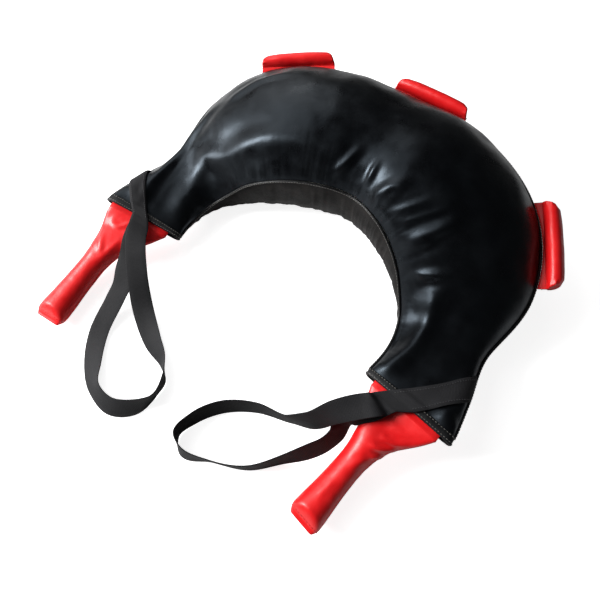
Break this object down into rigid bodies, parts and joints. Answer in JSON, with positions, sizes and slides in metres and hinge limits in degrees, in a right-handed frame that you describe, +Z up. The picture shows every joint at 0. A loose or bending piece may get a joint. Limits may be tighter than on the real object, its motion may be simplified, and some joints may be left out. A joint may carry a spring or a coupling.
{
  "type": "bulgarian bag",
  "caption": "Crescent training bag of sand in a stitched black skin, with padded red handles and webbing wrist loops at the horns and padded side grips on the outer seam.",
  "frame": {"origin": "on the floor under the middle of the crest, inside the flat sole", "axes": "+Y towards the crest, -Y towards the two horns and handles, +X to the right seen from above with the crest away, +Z up"},
  "size_m": [0.6428, 0.6663, 0.1877],
  "materials": {
    "bottom_panel_grained_leather": "matt grained, black",
    "horn_wadding_left_padding": "off-white padding",
    "horn_wadding_right_padding": "off-white padding",
    "inner_liner_liner_cloth": "woven liner cloth, grey",
    "inner_welt_piping": "piping, black",
    "left_grip_core_padding": "off-white padding",
    "left_grip_cover_red_leather": "semi-gloss coated, red",
    "left_grip_left_tab_red_leather": "semi-gloss coated, red",
    "left_grip_right_tab_red_leather": "semi-gloss coated, red",
    "left_handle_core_padding": "off-white padding",
    "left_handle_cover_red_leather": "semi-gloss coated, red",
    "left_handle_end_red_leather": "semi-gloss coated, red",
    "left_handle_root_red_leather": "semi-gloss coated, red",
    "left_mouth_hem_coated_leather": "gloss coated, black",
    "left_strap_anchor_webbing": "flat woven webbing, charcoal",
    "left_strap_band_webbing": "flat woven webbing, charcoal",
    "left_strap_loop_webbing": "flat woven webbing, charcoal",
    "middle_grip_core_padding": "off-white padding",
    "middle_grip_cover_red_leather": "semi-gloss coated, red",
    "middle_grip_left_tab_red_leather": "semi-gloss coated, red",
    "middle_grip_right_tab_red_leather": "semi-gloss coated, red",
    "outer_welt_piping": "piping, black",
    "right_grip_core_padding": "off-white padding",
    "right_grip_cover_red_leather": "semi-gloss coated, red",
    "right_grip_left_tab_red_leather": "semi-gloss coated, red",
    "right_grip_right_tab_red_leather": "semi-gloss coated, red",
    "right_handle_core_padding": "off-white padding",
    "right_handle_cover_red_leather": "semi-gloss coated, red",
    "right_handle_end_red_leather": "semi-gloss coated, red",
    "right_handle_root_red_leather": "semi-gloss coated, red",
    "right_mouth_hem_coated_leather": "gloss coated, black",
    "right_strap_anchor_webbing": "flat woven webbing, charcoal",
    "right_strap_band_webbing": "flat woven webbing, charcoal",
    "right_strap_loop_webbing": "flat woven webbing, charcoal",
    "sand_bag_center_sand_bag_cloth": "dense cloth bag of sand",
    "sand_bag_left_sand_bag_cloth": "dense cloth bag of sand",
    "sand_bag_left_tie_cord": "twisted cord",
    "sand_bag_right_sand_bag_cloth": "dense cloth bag of sand",
    "sand_bag_right_tie_cord": "twisted cord",
    "top_panel_coated_leather": "gloss coated, black"
  },
  "bodies": {
    "bag": {"bottom_panel": "bottom_panel_grained_leather", "horn_wadding_left": "horn_wadding_left_padding", "horn_wadding_right": "horn_wadding_right_padding", "inner_liner": "inner_liner_liner_cloth", "inner_welt": "inner_welt_piping", "left_grip_left_tab": "left_grip_left_tab_red_leather", "left_grip_right_tab": "left_grip_right_tab_red_leather", "left_handle_root": "left_handle_root_red_leather", "left_mouth_hem": "left_mouth_hem_coated_leather", "left_strap_band": "left_strap_band_webbing", "middle_grip_left_tab": "middle_grip_left_tab_red_leather", "middle_grip_right_tab": "middle_grip_right_tab_red_leather", "outer_welt": "outer_welt_piping", "right_grip_left_tab": "right_grip_left_tab_red_leather", "right_grip_right_tab": "right_grip_right_tab_red_leather", "right_handle_root": "right_handle_root_red_leather", "right_mouth_hem": "right_mouth_hem_coated_leather", "right_strap_band": "right_strap_band_webbing", "sand_bag_center": "sand_bag_center_sand_bag_cloth", "sand_bag_left": "sand_bag_left_sand_bag_cloth", "sand_bag_left_tie": "sand_bag_left_tie_cord", "sand_bag_right": "sand_bag_right_sand_bag_cloth", "sand_bag_right_tie": "sand_bag_right_tie_cord", "top_panel": "top_panel_coated_leather"},
    "left_handle": {"left_handle_cover": "left_handle_cover_red_leather", "left_handle_core": "left_handle_core_padding", "left_handle_end": "left_handle_end_red_leather", "left_strap_anchor": "left_strap_anchor_webbing"},
    "left_strap": {"left_strap_loop": "left_strap_loop_webbing"},
    "right_handle": {"right_handle_cover": "right_handle_cover_red_leather", "right_handle_core": "right_handle_core_padding", "right_handle_end": "right_handle_end_red_leather", "right_strap_anchor": "right_strap_anchor_webbing"},
    "right_strap": {"right_strap_loop": "right_strap_loop_webbing"},
    "left_grip": {"left_grip_cover": "left_grip_cover_red_leather", "left_grip_core": "left_grip_core_padding"},
    "middle_grip": {"middle_grip_cover": "middle_grip_cover_red_leather", "middle_grip_core": "middle_grip_core_padding"},
    "right_grip": {"right_grip_cover": "right_grip_cover_red_leather", "right_grip_core": "right_grip_core_padding"}
  },
  "joints": [
    {"name": "left_handle_flex", "type": "hinge", "parent": "bag", "child": "left_handle", "pos_m": [-0.26944, -0.28248, 0.05395], "axis": [-0.9558, -0.1261, 0.2657], "range_deg": [-25, 15]},
    {"name": "left_strap_swing", "type": "hinge", "parent": "left_handle", "child": "left_strap", "pos_m": [-0.25867, -0.28711, 0.06248], "axis": [-0.9558, -0.1261, 0.2657], "range_deg": [0, 50]},
    {"name": "right_handle_flex", "type": "hinge", "parent": "bag", "child": "right_handle", "pos_m": [0.20217, -0.31593, 0.06367], "axis": [-0.9698, 0.2012, -0.1378], "range_deg": [-25, 15]},
    {"name": "right_strap_swing", "type": "hinge", "parent": "right_handle", "child": "right_strap", "pos_m": [0.19167, -0.31988, 0.07335], "axis": [-0.9698, 0.2012, -0.1378], "range_deg": [0, 50]},
    {"name": "left_grip_flex", "type": "hinge", "parent": "bag", "child": "left_grip", "pos_m": [-0.20685, 0.08576, 0.1207], "axis": [0.8772, 0.4676, 0.1091], "range_deg": [-20, 20], "stiffness_Nm_per_rad": 1},
    {"name": "middle_grip_flex", "type": "hinge", "parent": "bag", "child": "middle_grip", "pos_m": [0.02468, 0.12375, 0.12388], "axis": [0.9976, -0.0646, 0.0269], "range_deg": [-20, 20], "stiffness_Nm_per_rad": 1},
    {"name": "right_grip_flex", "type": "hinge", "parent": "bag", "child": "right_grip", "pos_m": [0.27021, -0.01886, 0.10391], "axis": [0.4175, -0.8796, -0.2279], "range_deg": [-20, 20], "stiffness_Nm_per_rad": 1}
  ]
}
